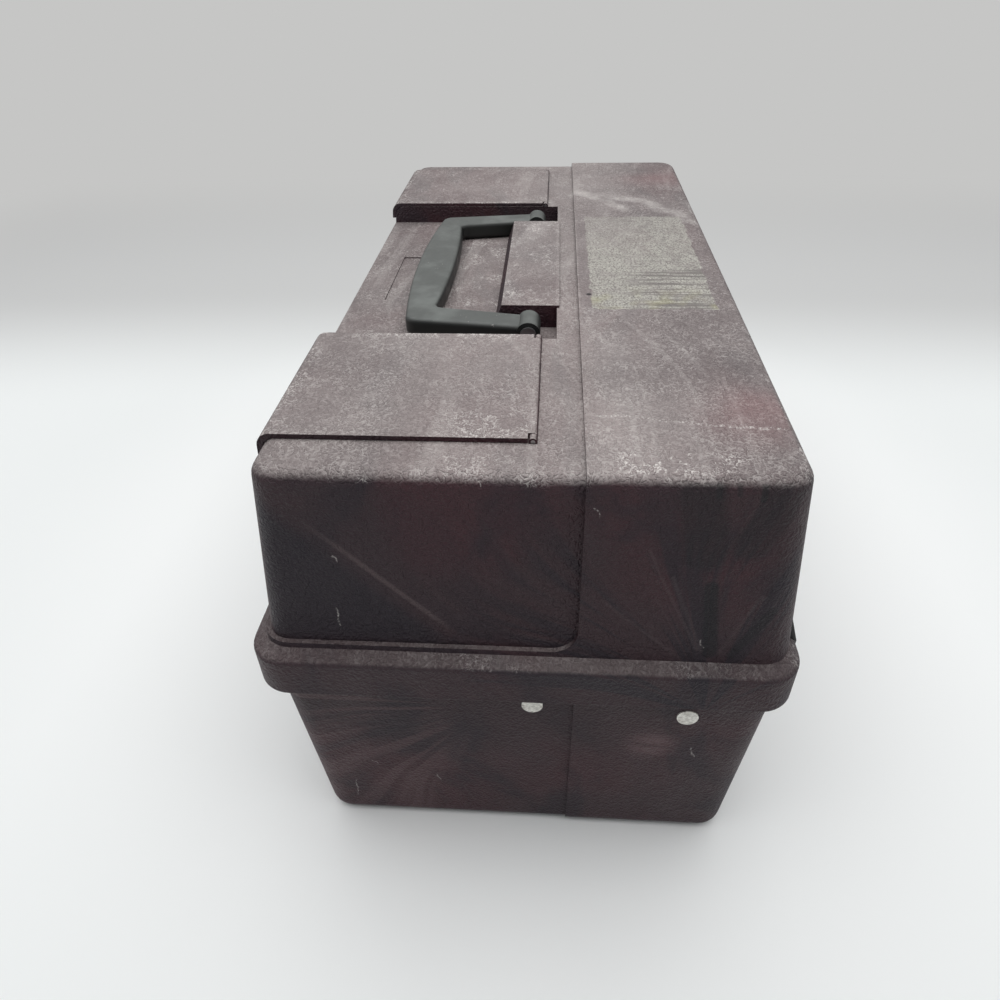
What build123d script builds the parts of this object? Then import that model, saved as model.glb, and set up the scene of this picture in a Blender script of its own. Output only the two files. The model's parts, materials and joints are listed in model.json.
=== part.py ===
from build123d import *
import math
import os

# Moulded tackle box: a hinged lid over a deep base, three cantilever trays that rise as the lid opens,
# two top doors over small compartments, a front latch and a folding carry handle.
# Millimetres. X runs along the length, Y from the front (minus) to the hinge side (plus), Z up.
# The origin is the centre of the face that the box stands on. All pieces are drawn closed and latched.

# Case shell
BODY_LENGTH = 453.8        # outer length of the walls at the rim
BODY_DEPTH = 222.4         # outer depth of the walls at the rim
HEIGHT = 226.9             # standing face to the top of the rear half of the lid
WALL = 2.6                 # moulded wall
BASE_DRAFT = 3.3           # taper of the base walls, degrees
LID_DRAFT = 4.76           # taper of the lid walls, degrees
CORNER = 13.0              # upright corners of the walls
TOP_ROUND = 6.0            # rounding round the top of the lid
BOTTOM_ROUND = 9.0         # rounding round the bottom of the base
BASE_STEP = 1.0            # the rear part of each end of the base stands out by this
PAD_MARGIN = 22.0          # width of the band that the base stands on
PAD_DEPTH = 0.8            # hollow in the underside, inside that band
SEAM_Y = 23.0              # where the rear half of the lid steps up, and the base's rear part starts

# Rim flange of the lid, which hangs outside the top of the base
RIM_BOTTOM = 117.1
RIM_HEIGHT = 20.0
RIM_SLOPE = 3.5            # height of the sloped shoulder above the rim
RIM_END = 6.2              # how far the rim stands out at each end
RIM_FRONT = 5.6
RIM_BACK = 4.7
RIM_CORNER = 16.0
RIM_ROUND = 2.4
LIP_GAP = 0.3              # the lid's shoulder rests this far above the lip of the base

# Lowered front half of the lid
STEP = 2.25                # how much lower the front half is
PANEL_EDGE = 2.65          # band left at full size above the rim shoulder
PANEL_CORNER = 11.0

# Handle recess, and the raised block between the handle's arms
RECESS_HALF = 104.5
RECESS_BACK = 12.0
RECESS_DEPTH = 13.0
SKIN = 2.4                 # wall of the recess and the compartments
BLOCK_HALF = 68.5
BLOCK_FRONT = -16.5
BLOCK_SLOPE = 4.5
BLOCK_DROP = 1.0           # top of the block below the top of the rear half
BLOCK_END = 10.0           # solid end of the block that holds a handle pin
PAD_HALF = 34.0            # shallow outlined panel in the floor of the recess
PAD_FRONT = -85.0
PAD_BACK = -56.0
PAD_CUT = 0.6

# Compartments under the two top doors
DOOR_END = 31.8            # from the end of the walls at the rim to the outer edge of a door
DOOR_BACK = 5.0
DOOR_LIP = 9.8             # height of the front lip, from the top of the door
SEAT_GAP = 0.25            # pieces that rest on each other
COMPARTMENT_MARGIN = 3.4   # from the door's edge to the inside of the compartment
COMPARTMENT_CORNER = 3.0
DOOR_RIB = 1.6
DOOR_RIB_DEPTH = 5.0
DOOR_RIB_GAP = 0.6
BARREL = 1.6               # radius of the door's hinge barrel
DOOR_PIN = 0.85
DOOR_EAR = 3.5             # length of the lid's ear at each end of the barrel

# Folding handle
HANDLE_PIVOT_Y = -2.0
HANDLE_PIVOT_RISE = 6.5    # above the floor of the recess
HANDLE_BOSS = 6.0
HANDLE_PIVOT_OUT = 91.0    # outer side of an arm at its pivot
HANDLE_PIVOT_IN = 75.5
HANDLE_GRIP_OUT = 82.5     # outer side of an arm at the grip
HANDLE_GRIP_IN = 66.0
GRIP_FRONT = -64.5         # front edge of the grip at its ends
GRIP_BACK = -50.8          # rear edge of the grip at its ends
GRIP_BOW_FRONT = 5.5
GRIP_BOW_BACK = 3.0
HANDLE_THICK = 10.0
HANDLE_ROUND = 2.6
HANDLE_CORNER = 7.0        # outer and inner corners of the grip, seen from above
HANDLE_INNER_CORNER = 4.0
HANDLE_PIN = 2.5

# Fits
RUNNING = 0.05             # radial clearance of a turning pin
SIDE_GAP = 0.4             # side clearance between pieces that turn
HEAD = 1.2                 # thickness of rivet and pin heads
PIN_HEAD = 1.6             # radius of the head of a pin, over the pin's own
RIVET_SINK = 0.2           # outer heads of the arm rivets are sunk this far into the wall
LAP = 1.0                  # cuts and joins reach this far past the faces that they meet
TOUCH = 0.01               # two heights this close are the same

# Rear hinges
HINGE_END = 41.9           # from the end of the walls at the rim to the middle of a hinge
HINGE_LENGTH = 50.0
HINGE_AXIS_DROP = 4.5      # axis below the bottom of the rim
HINGE_AXIS_OUT = 3.6       # axis behind the back wall
HINGE_BARREL = 3.6
HINGE_PIN = 1.6
HINGE_KNUCKLE = 12.0       # length of each outer knuckle
HINGE_PLATE = 3.4
HINGE_WEDGE = 12.0         # height of the lid leaf's wedge above the rim
HINGE_TAIL = 20.0          # height of the base leaf below its knuckle
HINGE_RIVET = 2.0
HINGE_RIVET_HEAD = 3.6
HINGE_RIVET_SPREAD = 30.0
HINGE_PIN_HEAD = 2.4
HINGE_EDGE = 1.2           # thickness of the lid leaf at its top, and of the base leaf at its foot
HINGE_FOOT = 2.0
HINGE_WEB_IN = 2.0         # web under a knuckle, in and out from the axis
HINGE_WEB_OUT = 1.0

# Front latch
LATCH_HALF = 34.0
LATCH_BARREL = 3.6
LATCH_PLATE = 3.2
LATCH_AXIS_RISE = 7.4      # axis above the rim shoulder
LATCH_AXIS_IN = 2.0        # axis behind the front face of the rim
LATCH_GAP = 0.8            # from the plate to the rim
LATCH_HOOK_DROP = 7.3      # top of the hook below the bottom of the rim
LATCH_HOOK = 3.0
LATCH_TAB = 9.0
LATCH_TAB_OUT = 4.0        # the finger tab leans out by this, and starts this far below the hook
LATCH_TAB_START = 2.0
LATCH_EASE = (1.0, 3.0)    # the top edge of the plate is eased over this much
LATCH_EAR = 5.0
LATCH_PIN = 2.0
LATCH_WEB_LOW = 5.0        # the web of an ear meets the lid this far below and above the axis
LATCH_WEB_HIGH = 7.0
LATCH_HOOK_SIDE = 6.0      # the latch is open for this much at each side of its hook
LATCH_RIBS = 5
LATCH_RIB_GAP = 12.0
LATCH_RIB = 6.0
LATCH_RIB_DEPTH = 0.8
CATCH_HALF = 26.0
CATCH_OUT = 4.8
CATCH_HEIGHT = 5.6
CATCH_NOSE = 2.0

# Cantilever arms and their pivots, seen from the end of the box
ARM_WIDTH = 13.0
ARM_THICK = 2.0
ARM_SPACING = 68.3         # between the front and rear pivots
REAR_PIVOT_IN = 38.1       # rear pivot from the back wall, and below the rim
REAR_PIVOT_DROP = 13.8
FRONT_PIVOT_DROP = 10.6
LOWER_TRAY_RADIUS = 24.0   # from an arm's pivot to the lower tray's
UPPER_PIN_IN = 29.8        # upper tray's front pivot from the front wall, and below the top
UPPER_PIN_DROP = 42.8
PIVOT_PIN = 2.95
PIVOT_HEAD = 4.7
PIVOT_BOSS = 6.5
TRAY_PIN = 2.45
TRAY_PIN_HEAD = 4.0

# Trays, from the lowest up
TRAY_NAMES = ("lower", "middle", "upper")
TRAY_ROOM_END = 20.4       # from the walls at the rim to the ends of the trays
TRAY_ROOM_FRONT = 15.2
TRAY_ROOMS_BACK = (43.2, 49.2, 52.2)
TRAY_APART = 3.8           # between one tray and the next, up and down
TRAY_ROOM_ABOVE = 4.1      # from the upper tray to the compartments
TRAY_WALL = 1.8
TRAY_DRAFT = 1.2
TRAY_CORNER = 5.0
TRAY_LIP = 2.2
TRAY_PIN_DROP = 5.5        # pivot below the top of the tray
TRAY_BOSS = 5.0
TRAY_BOSS_OUT = 1.8
TRAY_GAP = 2.0             # from the end of a tray to its arm
DIVIDER = 1.4
DIVIDER_DROP = 3.0
GROOVE = 0.8
GROOVE_GAP = 0.1
MIDDLE_WALLS = (68.0, 78.0, 74.0)     # middle wall of each tray, from its front
FRONT_ROW_COUNTS = (2, 3, 4)          # dividers in the front and rear rows of each tray
REAR_ROW_COUNTS = (0, 2, 3)

# Links that carry the lid's motion to the rear arms
LINK_LID_IN = 23.2         # lid's pivot from the back wall, and above the rim's bottom
LINK_LID_RISE = 26.9
LINK_ARM_RADIUS = 54.0
LINK_THICK = 1.8
LINK_GAP = 3.1             # from an arm to its link
LINK_EYE = 9.0
LINK_WIDTH = 9.0
LINK_CLEARANCE = 3.8       # the arm's pin floats this much in the link's open eye
LINK_CAP = 8.0
LINK_BOSS = 6.0

# Sizes that follow from the ones above
TAN_LID = math.tan(math.radians(LID_DRAFT))
TAN_BASE = math.tan(math.radians(BASE_DRAFT))
RIM_TOP = RIM_BOTTOM + RIM_HEIGHT
SHOULDER = RIM_TOP + RIM_SLOPE
RIM_CEILING = RIM_TOP - WALL
LIP_TOP = RIM_CEILING - LIP_GAP
PANEL_BOTTOM = SHOULDER + PANEL_EDGE
LOW_TOP = HEIGHT - STEP
RECESS_FLOOR = HEIGHT - RECESS_DEPTH
DOOR_INNER = RECESS_HALF + SEAT_GAP
DOOR_OUTER = BODY_LENGTH / 2 - DOOR_END
DOOR_AXIS = (DOOR_BACK - BARREL, HEIGHT - BARREL)
HANDLE_AXIS = (HANDLE_PIVOT_Y, RECESS_FLOOR + HANDLE_PIVOT_RISE)
HINGE_AXIS = (BODY_DEPTH / 2 + HINGE_AXIS_OUT, RIM_BOTTOM - HINGE_AXIS_DROP)
LATCH_AXIS = (-BODY_DEPTH / 2 - RIM_FRONT + LATCH_AXIS_IN, SHOULDER + LATCH_AXIS_RISE)
HINGE_CENTRE = BODY_LENGTH / 2 - HINGE_END
REAR_PIVOT = (BODY_DEPTH / 2 - REAR_PIVOT_IN, RIM_BOTTOM - REAR_PIVOT_DROP)
FRONT_PIVOT = (REAR_PIVOT[0] - ARM_SPACING, RIM_BOTTOM - FRONT_PIVOT_DROP)
UPPER_PIN = (-BODY_DEPTH / 2 + UPPER_PIN_IN, HEIGHT - UPPER_PIN_DROP)
ARM_ANGLE = math.atan2(UPPER_PIN[1] - FRONT_PIVOT[1], UPPER_PIN[0] - FRONT_PIVOT[0])
UPPER_TRAY_RADIUS = math.dist(FRONT_PIVOT, UPPER_PIN)
TRAY_RADII = (LOWER_TRAY_RADIUS, (LOWER_TRAY_RADIUS + UPPER_TRAY_RADIUS) / 2, UPPER_TRAY_RADIUS)
TRAY_HEIGHT = (TRAY_RADII[1] - TRAY_RADII[0]) * math.sin(ARM_ANGLE) - TRAY_APART
TRAY_FRONT = -BODY_DEPTH / 2 + TRAY_ROOM_FRONT
TRAY_BACKS = [BODY_DEPTH / 2 - room for room in TRAY_ROOMS_BACK]
TRAY_END = BODY_LENGTH / 2 - TRAY_ROOM_END
COMPARTMENT_FLOOR = UPPER_PIN[1] + TRAY_PIN_DROP + TRAY_ROOM_ABOVE + SKIN
LINK_LID_PIVOT = (BODY_DEPTH / 2 - LINK_LID_IN, RIM_BOTTOM + LINK_LID_RISE)
ARM_IN = TRAY_END + TRAY_GAP
ARM_OUT = ARM_IN + ARM_THICK
LINK_IN = ARM_OUT + LINK_GAP
LINK_OUT = LINK_IN + LINK_THICK
FAR = BODY_LENGTH          # longer than anything that is cut
HOLE_START = 0.4 * BODY_DEPTH         # rivet holes in the back walls are cut from here outwards


def base_half(z):
    """Half length and half depth of the outside of the base at height z."""
    taper = (RIM_BOTTOM - z) * TAN_BASE
    return BODY_LENGTH / 2 - taper, BODY_DEPTH / 2 - taper


def lid_half(z):
    """Half length and half depth of the outside of the lid at height z."""
    taper = (z - SHOULDER) * TAN_LID
    return BODY_LENGTH / 2 - taper, BODY_DEPTH / 2 - taper


def box(x0, x1, y0, y1, z0, z1):
    """Block between two corners."""
    return Pos((x0 + x1) / 2, (y0 + y1) / 2, (z0 + z1) / 2) * Box(x1 - x0, y1 - y0, z1 - z0)


def ring(half_x, y0, y1, z, radius):
    """Rounded rectangle at height z, for lofts."""
    return Pos(0, (y0 + y1) / 2, z) * RectangleRounded(2 * half_x, y1 - y0, radius)


def rod(x0, x1, yz, radius):
    """Cylinder along X from x0 to x1, centred on a point of the end view."""
    return Pos((x0 + x1) / 2, yz[0], yz[1]) * Rot(0, 90, 0) * Cylinder(radius, abs(x1 - x0))


def stud(y0, y1, x, z, radius):
    """Cylinder along Y from y0 to y1."""
    return Pos(x, (y0 + y1) / 2, z) * Rot(90, 0, 0) * Cylinder(radius, abs(y1 - y0))


def profile(points, x0, x1):
    """Outline drawn in the end view, as (y, z) points, carried along X."""
    face = make_face(Polyline(*[(x0, y, z) for y, z in points], close=True))
    return extrude(face, x1 - x0, dir=(1, 0, 0))


def mirrored(shape):
    """The same piece at the other end of the box."""
    return mirror(shape, about=Plane.YZ)


def both_ends(shape):
    """A piece and its mirror image, as separate solids."""
    return Compound(children=[shape, mirrored(shape)])


def arm_point(pivot, radius):
    """Point on an arm in the closed position."""
    return pivot[0] + radius * math.cos(ARM_ANGLE), pivot[1] + radius * math.sin(ARM_ANGLE)


def rounded_tops(solid, radius):
    """Rounds the edges round the highest face."""
    return fillet(solid.edges().group_by(Axis.Z)[-1], radius)


def lid_block(inset, bottom, top, radius):
    """Tapered block with the lid's outline, drawn in at the ends and the front by inset."""
    levels = []
    for z in (bottom, top):
        half_x, half_y = lid_half(z)
        levels.append(ring(half_x - inset, -half_y + inset, half_y, z, CORNER - inset))
    return rounded_tops(loft(levels, ruled=True), radius)


def lid_hollow(inset, top):
    """Inside of the lid, one wall thickness in from lid_block."""
    levels = []
    for z in (RIM_CEILING - WALL, top):
        half_x, half_y = lid_half(z)
        levels.append(ring(half_x - inset - WALL, -half_y + inset + WALL, half_y - WALL, z, CORNER - WALL))
    return rounded_tops(loft(levels, ruled=True), TOP_ROUND - WALL)


def front_zone(grow):
    """Everything in front of the step in the lid and above the band over the rim."""
    y1, z0 = SEAM_Y + grow, PANEL_BOTTOM - grow
    block = box(-FAR, FAR, -FAR, y1, z0, HEIGHT + FAR)
    corner = block.edges().filter_by(Axis.X).sort_by_distance((0, y1, z0))[0]
    return fillet(corner, PANEL_CORNER)


def rim_solid():
    """Rim flange with its sloped shoulder."""
    half_x = BODY_LENGTH / 2 + RIM_END
    y0, y1 = -BODY_DEPTH / 2 - RIM_FRONT, BODY_DEPTH / 2 + RIM_BACK
    low = extrude(ring(half_x, y0, y1, RIM_BOTTOM, RIM_CORNER), RIM_HEIGHT)
    low = fillet(low.edges().group_by(Axis.Z)[0], RIM_ROUND / 2)
    top_x, top_y = lid_half(SHOULDER)
    foot = ring(half_x, y0, y1, RIM_TOP, RIM_CORNER)
    solid = low + loft([foot, ring(top_x, -top_y, top_y, SHOULDER, CORNER)], ruled=True)
    crease = [e for e in solid.edges() if abs(e.center().Z - RIM_TOP) < TOUCH]
    return fillet(crease, RIM_ROUND)


def rim_hollow():
    """Space inside the rim, down to its open bottom."""
    half_x = BODY_LENGTH / 2 + RIM_END - WALL
    y0, y1 = -BODY_DEPTH / 2 - RIM_FRONT + WALL, BODY_DEPTH / 2 + RIM_BACK - WALL
    outline = ring(half_x, y0, y1, RIM_BOTTOM - WALL, RIM_CORNER - WALL)
    return extrude(outline, RIM_CEILING - RIM_BOTTOM + WALL)


def compartment(grow, floor, top):
    """Block of one compartment at the +X end, grown by a wall on its sides, from floor to top."""
    x0, x1 = DOOR_INNER + COMPARTMENT_MARGIN - grow, DOOR_OUTER - COMPARTMENT_MARGIN + grow
    y0 = -lid_half(LOW_TOP)[1] + STEP + COMPARTMENT_MARGIN + SKIN - grow
    y1 = DOOR_AXIS[0] - BARREL - COMPARTMENT_MARGIN + grow
    return fillet(box(x0, x1, y0, y1, floor, top).edges().filter_by(Axis.Z), COMPARTMENT_CORNER + grow)


def block_outline(inset):
    """End view of the raised block, drawn in by inset."""
    top, low = HEIGHT - BLOCK_DROP - inset, RECESS_FLOOR - SKIN
    run = BLOCK_SLOPE / RECESS_DEPTH
    return [
        (RECESS_BACK + SKIN - inset, low),
        (RECESS_BACK + SKIN - inset, top),
        (BLOCK_FRONT + inset, top),
        (BLOCK_FRONT + inset - run * (top - low), low),
    ]


def latch_ear():
    """Ear on the front of the lid that holds the latch pin, at the +X side of the latch."""
    y, z = LATCH_AXIS
    wall = -lid_half(z)[1] + STEP + WALL / 2
    x0 = LATCH_HALF + SIDE_GAP
    low, high = (wall, z - LATCH_WEB_LOW), (wall, z + LATCH_WEB_HIGH)
    web = profile([low, high, (y, z + LATCH_BARREL), (y, z - LATCH_BARREL)], x0, x0 + LATCH_EAR)
    return web + rod(x0, x0 + LATCH_EAR, LATCH_AXIS, LATCH_BARREL)


def hinge_notch():
    """Gap in the back of the rim for one hinge."""
    half = HINGE_LENGTH / 2 + SIDE_GAP
    y0 = HINGE_AXIS[0] - HINGE_PLATE / 2 - SIDE_GAP
    return box(HINGE_CENTRE - half, HINGE_CENTRE + half, y0, FAR, RIM_BOTTOM - WALL, SHOULDER + SIDE_GAP)


def hinge_rivet_places(z):
    """Centres of one hinge leaf's rivets."""
    return [(HINGE_CENTRE + side * HINGE_RIVET_SPREAD / 2, z) for side in (-1, 1)]


def lid_shell():
    """Lid: stepped top, rim, handle recess, block, two compartments, ears and bosses."""
    full = lid_block(0, SHOULDER - LAP / 2, HEIGHT, TOP_ROUND)
    low = lid_block(STEP, SHOULDER - LAP / 2, LOW_TOP, TOP_ROUND)
    zone = front_zone(0)
    outside = (full - zone) + (low & zone) + rim_solid()
    zone_in = front_zone(WALL)
    inside = (lid_hollow(0, HEIGHT - WALL) - zone_in) + (lid_hollow(STEP, LOW_TOP - WALL) & zone_in)
    recess = box(-RECESS_HALF, RECESS_HALF, -FAR, RECESS_BACK, RECESS_FLOOR, HEIGHT + LAP)
    around = box(
        -RECESS_HALF - SKIN, RECESS_HALF + SKIN, -FAR, RECESS_BACK + SKIN, RECESS_FLOOR - SKIN, HEIGHT
    )
    inside = inside - around
    inside += profile(block_outline(SKIN), -BLOCK_HALF + BLOCK_END, BLOCK_HALF - BLOCK_END)
    for side in (1, -1):
        block = compartment(SKIN, COMPARTMENT_FLOOR - SKIN, HEIGHT)
        inside -= block if side > 0 else mirrored(block)
    shell = outside - inside - rim_hollow()
    shell -= recess
    shell += profile(block_outline(0), -BLOCK_HALF, BLOCK_HALF) & box(
        -FAR, FAR, -FAR, RECESS_BACK + SKIN / 2, RECESS_FLOOR - SKIN / 2, HEIGHT
    )
    shell -= box(-PAD_HALF, PAD_HALF, PAD_FRONT, PAD_BACK, RECESS_FLOOR - PAD_CUT, RECESS_FLOOR + PAD_CUT)
    link_z = LINK_LID_PIVOT[1]
    wall_x = lid_half(link_z)[0] - WALL / 2
    for side in (1, -1):
        parts = [rod(LINK_OUT + SIDE_GAP, wall_x, LINK_LID_PIVOT, LINK_BOSS), latch_ear(), door_ears()]
        cuts = [
            compartment(0, COMPARTMENT_FLOOR, HEIGHT + LAP),
            rod(DOOR_INNER - SEAT_GAP, DOOR_OUTER + SEAT_GAP, DOOR_AXIS, BARREL + SEAT_GAP),
            hinge_notch(),
        ]
        holes = [
            rod(LINK_OUT, wall_x, LINK_LID_PIVOT, TRAY_PIN),
            rod(LATCH_HALF, LATCH_HALF + 2 * LATCH_EAR, LATCH_AXIS, LATCH_PIN),
            rod(DOOR_INNER - SEAT_GAP, DOOR_OUTER, DOOR_AXIS, DOOR_PIN),
            rod(BLOCK_HALF - BLOCK_END + SKIN, BLOCK_HALF + LAP, HANDLE_AXIS, HANDLE_PIN),
        ]
        for x, z in hinge_rivet_places(SHOULDER + HINGE_WEDGE / 2):
            holes.append(stud(HOLE_START, BODY_DEPTH, x, z, HINGE_RIVET))
        for cut in cuts:
            shell -= cut if side > 0 else mirrored(cut)
        for part in parts:
            shell += part if side > 0 else mirrored(part)
        for hole in holes:
            shell -= hole if side > 0 else mirrored(hole)
    return shell


def door_ears():
    """The lid's ears at the two ends of a door's hinge."""
    y, z = DOOR_AXIS
    ears = []
    for x0, x1 in ((DOOR_INNER - SEAT_GAP, DOOR_INNER + DOOR_EAR), (DOOR_OUTER - DOOR_EAR, DOOR_OUTER)):
        web = box(x0, x1, y - BARREL, y + BARREL, LOW_TOP - STEP / 2, z)
        ears.append(rod(x0, x1, DOOR_AXIS, BARREL) + web)
    return ears[0] + ears[1]


def door():
    """Top door at the +X end: a bent plate with a front lip, a locating rib and hinge knuckles."""
    y, z = DOOR_AXIS
    plate = lid_block(0, SHOULDER, HEIGHT, TOP_ROUND) & box(
        DOOR_INNER, DOOR_OUTER, -FAR, y, HEIGHT - DOOR_LIP, HEIGHT + LAP
    )
    plate -= lid_block(STEP - SEAT_GAP, SHOULDER, LOW_TOP + SEAT_GAP, TOP_ROUND)
    rib = compartment(-DOOR_RIB_GAP, COMPARTMENT_FLOOR, LOW_TOP + STEP / 2)
    rib -= compartment(-DOOR_RIB_GAP - DOOR_RIB, COMPARTMENT_FLOOR - LAP, HEIGHT)
    plate += rib & box(0, FAR, -FAR, FAR, LOW_TOP - DOOR_RIB_DEPTH, HEIGHT)
    ear = DOOR_EAR + SIDE_GAP
    for x0, x1 in ((DOOR_INNER - LAP, DOOR_INNER + ear), (DOOR_OUTER - ear, DOOR_OUTER + LAP)):
        plate -= box(x0, x1, y - BARREL - SIDE_GAP, FAR, 0, HEIGHT + LAP)
    plate += rod(DOOR_INNER + ear, DOOR_OUTER - ear, DOOR_AXIS, BARREL)
    plate -= rod(DOOR_INNER, DOOR_OUTER, DOOR_AXIS, DOOR_PIN + RUNNING)
    return plate


def door_pin():
    """Hinge pin of the door at the +X end."""
    return rod(DOOR_INNER - SEAT_GAP, DOOR_OUTER, DOOR_AXIS, DOOR_PIN)


def handle():
    """Bail handle: two flared arms with pivot bosses, and a grip that swells in the middle."""
    y, z = HANDLE_AXIS
    right = [(HANDLE_PIVOT_IN, y), (HANDLE_PIVOT_OUT, y), (HANDLE_GRIP_OUT, GRIP_FRONT)]
    left = [(-px, py) for px, py in reversed(right)]
    inner = (HANDLE_GRIP_IN, GRIP_BACK)
    front = ThreePointArc(right[2], (0, GRIP_FRONT - GRIP_BOW_FRONT), left[0])
    back = ThreePointArc((-inner[0], inner[1]), (0, GRIP_BACK + GRIP_BOW_BACK), inner)
    edges = [
        Polyline(inner, *right),
        front,
        Polyline(*left, (-inner[0], inner[1])),
        back,
    ]
    outline = make_face(edges)
    corners = [v for v in outline.vertices() if v.Y < GRIP_BACK + LAP]
    outline = fillet([v for v in corners if v.Y < (GRIP_FRONT + GRIP_BACK) / 2], HANDLE_CORNER)
    outline = fillet([v for v in outline.vertices() if abs(v.Y - GRIP_BACK) < TOUCH], HANDLE_INNER_CORNER)
    low = RECESS_FLOOR + 2 * SEAT_GAP
    bail = extrude(Pos(0, 0, low) * outline, HANDLE_THICK)
    rims = bail.edges().group_by(Axis.Z)[0] + bail.edges().group_by(Axis.Z)[-1]
    rims = [e for e in rims if e.center().Y < y - LAP]
    bail = fillet(rims, HANDLE_ROUND)
    for side in (1, -1):
        boss = rod(HANDLE_PIVOT_IN, HANDLE_PIVOT_OUT, HANDLE_AXIS, HANDLE_BOSS)
        hole = rod(HANDLE_PIVOT_IN - LAP, HANDLE_PIVOT_OUT + LAP, HANDLE_AXIS, HANDLE_PIN + RUNNING)
        bail += boss if side > 0 else mirrored(boss)
        bail -= hole if side > 0 else mirrored(hole)
    return bail


def handle_pin():
    """Steel pin from the block's end through an arm of the handle, with a head outside."""
    x0 = BLOCK_HALF - BLOCK_END + SKIN
    x1 = HANDLE_PIVOT_OUT + SIDE_GAP
    return rod(x0, x1, HANDLE_AXIS, HANDLE_PIN) + rod(x1, x1 + HEAD, HANDLE_AXIS, PIN_HEAD * HANDLE_PIN)


def latch():
    """Front latch: barrel on its pin, plate over the rim, hook under the catch and a finger tab."""
    y, z = LATCH_AXIS
    inner = -BODY_DEPTH / 2 - RIM_FRONT - LATCH_GAP
    outer = inner - LATCH_PLATE
    hook_top = RIM_BOTTOM - LATCH_HOOK_DROP
    hook_in = -BODY_DEPTH / 2 - CATCH_OUT / 2
    outline = [
        (y, z + LATCH_BARREL),
        (outer + LATCH_EASE[0], z + LATCH_BARREL - LATCH_EASE[0]),
        (outer, z + LATCH_BARREL - LATCH_EASE[1]),
        (outer, hook_top - LATCH_HOOK - LATCH_TAB_START),
        (outer - LATCH_TAB_OUT, hook_top - LATCH_HOOK - LATCH_TAB),
        (inner - LATCH_TAB_OUT, hook_top - LATCH_HOOK - LATCH_TAB),
        (inner, hook_top - LATCH_HOOK),
        (hook_in, hook_top - LATCH_HOOK),
        (hook_in, hook_top),
        (inner, hook_top),
        (inner, z - LATCH_BARREL),
        (y, z - LATCH_BARREL),
    ]
    body = profile(outline, -LATCH_HALF, LATCH_HALF) + rod(-LATCH_HALF, LATCH_HALF, LATCH_AXIS, LATCH_BARREL)
    for side in (1, -1):
        x0, x1 = sorted((side * (LATCH_HALF - LATCH_HOOK_SIDE), side * FAR))
        body -= box(x0, x1, inner, 0, hook_top - LATCH_HOOK - LAP, hook_top + LAP)
    for k in range(LATCH_RIBS):
        x = (k - (LATCH_RIBS - 1) / 2) * LATCH_RIB_GAP
        x0, x1 = x - LATCH_RIB / 2, x + LATCH_RIB / 2
        body -= box(x0, x1, outer - LAP, outer + LATCH_RIB_DEPTH, RIM_BOTTOM + LATCH_PLATE, RIM_TOP)
    return body - rod(-FAR, FAR, LATCH_AXIS, LATCH_PIN + RUNNING)


def latch_pin():
    """Pin of the latch, held in the lid's two ears."""
    end = LATCH_HALF + SIDE_GAP + LATCH_EAR
    pin = rod(-end, end, LATCH_AXIS, LATCH_PIN)
    for side in (1, -1):
        x0, x1 = sorted((side * end, side * (end + HEAD)))
        pin += rod(x0, x1, LATCH_AXIS, PIN_HEAD * LATCH_PIN)
    return pin


def lid_hinge_leaf():
    """Lid leaf of one hinge: a wedge over the rim, a plate through the rim and the middle knuckle."""
    y, z = HINGE_AXIS
    x0, x1 = HINGE_CENTRE - HINGE_LENGTH / 2, HINGE_CENTRE + HINGE_LENGTH / 2
    inner, outer = y - HINGE_PLATE / 2, y + HINGE_PLATE / 2
    top = SHOULDER + HINGE_WEDGE
    wall_low = lid_half(SHOULDER + SIDE_GAP)[1]
    wall_top = lid_half(top)[1]
    low = RIM_BOTTOM + SEAT_GAP
    plate = profile(
        [
            (inner, low), (outer, low), (outer, RIM_TOP), (wall_top + HINGE_EDGE, top), (wall_top, top),
            (wall_low, SHOULDER + SIDE_GAP), (inner, SHOULDER + SIDE_GAP),
        ],
        x0,
        x1,
    )
    k0, k1 = x0 + HINGE_KNUCKLE + SIDE_GAP, x1 - HINGE_KNUCKLE - SIDE_GAP
    plate += profile([(inner, z), (outer, z), (outer, low + LAP), (inner, low + LAP)], k0, k1)
    plate += rod(k0, k1, HINGE_AXIS, HINGE_BARREL)
    plate -= rod(x0, x1, HINGE_AXIS, HINGE_PIN + RUNNING)
    for x, rz in hinge_rivet_places(SHOULDER + HINGE_WEDGE / 2):
        face = lid_half(rz)[1] + HINGE_PLATE / 2
        plate -= stud(face, FAR, x, rz, HINGE_RIVET_HEAD) + stud(0, FAR, x, rz, HINGE_RIVET)
    return plate


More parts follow.
